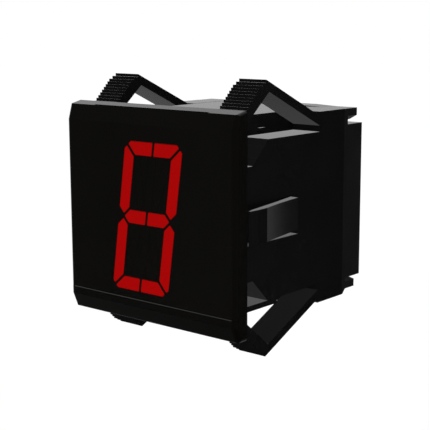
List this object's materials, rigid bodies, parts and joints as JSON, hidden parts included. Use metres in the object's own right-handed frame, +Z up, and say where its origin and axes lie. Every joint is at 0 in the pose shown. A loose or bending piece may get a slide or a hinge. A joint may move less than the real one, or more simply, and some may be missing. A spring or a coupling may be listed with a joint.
{
  "type": "sixteen-segment display",
  "caption": "Panel-mounted LED display module for one alphanumeric character, with a square black bezel, leaning red bar segments and snap brackets on both sides.",
  "frame": {"origin": "on the case's middle line, in the plane of the bezel's rear face, which seats on the front of the panel", "axes": "+X to the right as seen from the front, +Y back through the panel cut-out, +Z up"},
  "size_m": [0.0606, 0.0607, 0.0724],
  "materials": {
    "bezel_plastic": "fine satin black moulding",
    "window_plastic": "smooth black smoked plastic",
    "case_plastic": "satin black moulding",
    "bracket_plastic": "satin black moulding",
    "reflector_plastic": "matt black moulding",
    "lit_segment": "evenly lit red diffuser",
    "unlit_segment": "dark diffuser",
    "circuit_board": "green solder mask",
    "led_body": "white body with a clear lens",
    "contact_metal": "plated",
    "screw_steel": "zinc plated",
    "chip_plastic": "matt black epoxy",
    "capacitor_can": "bare can",
    "resistor_coat": "tan coating",
    "insulator_plastic": "black nylon"
  },
  "bodies": {
    "root": {"front_bezel": "bezel_plastic", "display_window": "window_plastic", "main_case": "case_plastic", "rear_cover": "case_plastic", "terminal_housing": "case_plastic", "right_bracket": "bracket_plastic", "left_bracket": "bracket_plastic", "segment_reflector": "reflector_plastic", "led_board": "circuit_board", "board_screws": "screw_steel", "main_board": "circuit_board", "board_header": "insulator_plastic", "header_contacts": "contact_metal", "driver_chip_left": "chip_plastic", "driver_chip_right": "chip_plastic", "decoder_chip": "chip_plastic", "capacitor": "capacitor_can", "resistor_network": "resistor_coat", "rear_connector": "insulator_plastic", "terminal_pins": "contact_metal", "case_screws": "screw_steel", "segment_a1": "lit_segment", "led_a1": "led_body", "segment_a2": "lit_segment", "led_a2": "led_body", "segment_b": "lit_segment", "led_b": "led_body", "segment_c": "lit_segment", "led_c": "led_body", "segment_d1": "lit_segment", "led_d1": "led_body", "segment_d2": "lit_segment", "led_d2": "led_body", "segment_e": "lit_segment", "led_e": "led_body", "segment_f": "lit_segment", "led_f": "led_body", "segment_g1": "lit_segment", "led_g1": "led_body", "segment_g2": "lit_segment", "led_g2": "led_body", "segment_h": "unlit_segment", "led_h": "led_body", "segment_i": "unlit_segment", "led_i": "led_body", "segment_j": "unlit_segment", "led_j": "led_body", "segment_k": "unlit_segment", "led_k": "led_body", "segment_l": "unlit_segment", "led_l": "led_body", "segment_m": "unlit_segment", "led_m": "led_body"}
  },
  "joints": []
}
